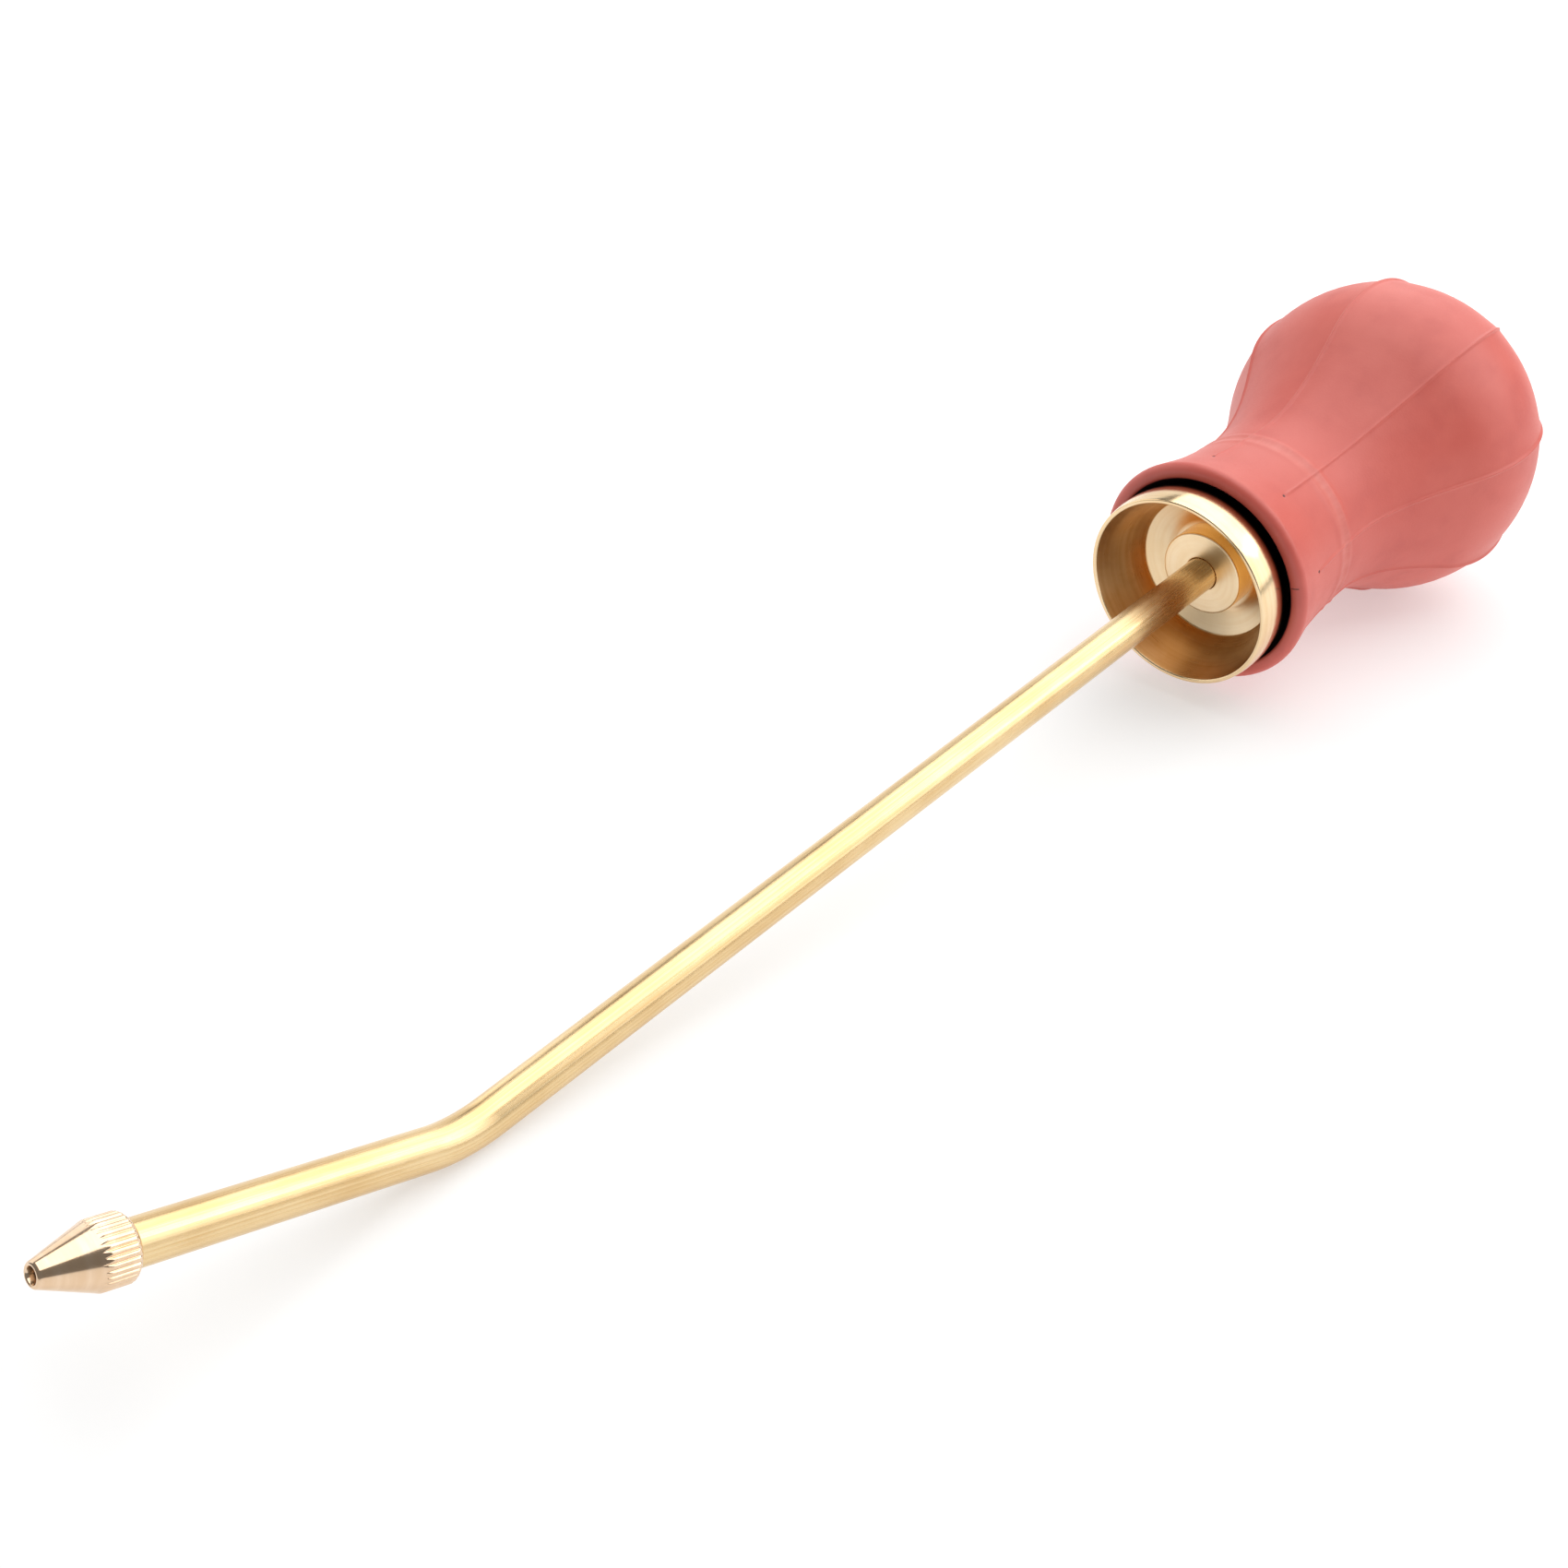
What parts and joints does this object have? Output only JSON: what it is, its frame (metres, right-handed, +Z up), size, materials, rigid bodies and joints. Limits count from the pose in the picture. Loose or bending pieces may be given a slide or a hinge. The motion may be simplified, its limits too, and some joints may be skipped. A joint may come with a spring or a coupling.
{
  "type": "dust blower bulb",
  "caption": "Hand air blower: rubber bulb on a turned brass cup, long brass tube with an angled end and a knurled conical nozzle.",
  "frame": {"origin": "on the bench plane, straight below the middle of the rubber bulb, with the tool lying on its bulb and its elbow", "axes": "+X along the tool towards the nozzle, +Z up from the bench, tube and bent end in the XZ plane"},
  "size_m": [0.3333, 0.0626, 0.0626],
  "materials": {
    "rubber_red": "matte moulded salmon-red rubber",
    "brass_turned": "fine-turned satin brass",
    "brass_drawn": "drawn brass tube with fine lengthwise lines",
    "brass_nozzle": "polished pale brass",
    "brass_plain": "plain machined brass",
    "rubber_black": "black sealing rubber",
    "fibre": "red vulcanised fibre",
    "spring_steel": "blued spring steel"
  },
  "bodies": {
    "bulb": {"rubber_bulb": "rubber_red", "stopper_cup": "brass_turned", "gland_bush": "brass_turned", "gland_oring": "rubber_black", "gland_gasket": "fibre", "gland_washer": "brass_plain", "gland_nut": "brass_plain"},
    "bent_tube": {"tube": "brass_drawn", "thrust_washer": "brass_plain", "tube_clip": "spring_steel"},
    "seal_ring": {"nozzle_seal": "rubber_black"},
    "nozzle_cone": {"nozzle": "brass_nozzle"},
    "bulb_end": {"valve_body": "brass_plain", "valve_cage": "brass_plain"},
    "inlet_disc": {"valve_disc": "rubber_black"}
  },
  "joints": [
    {"name": "bulb_squeeze", "type": "slide", "parent": "bulb", "child": "bulb_end", "axis": [0.9931, 0, -0.1175], "range_m": [0, 0.018], "stiffness_N_per_m": 900, "deforming": ["rubber_bulb"]},
    {"name": "tube_turn", "type": "hinge", "parent": "bulb", "child": "bent_tube", "pos_m": [0.07071, 0, 0.02294], "axis": [0.9931, 0, -0.1175], "continuous": true},
    {"name": "nozzle_advance", "type": "slide", "parent": "bent_tube", "child": "seal_ring", "axis": [0.954, 0, 0.2999], "range_m": [0, 0.004]},
    {"name": "nozzle_turn", "type": "hinge", "parent": "seal_ring", "child": "nozzle_cone", "pos_m": [0.29648, 0, 0.01979], "axis": [0.954, 0, 0.2999], "range_deg": [0, 2880]},
    {"name": "inlet_lift", "type": "slide", "parent": "bulb_end", "child": "inlet_disc", "axis": [0.9931, 0, -0.1175], "range_m": [0, 0.0006]}
  ],
  "couplings": [
    {"joint": "nozzle_turn", "follows": "nozzle_advance", "rad_per_m": 12566}
  ]
}
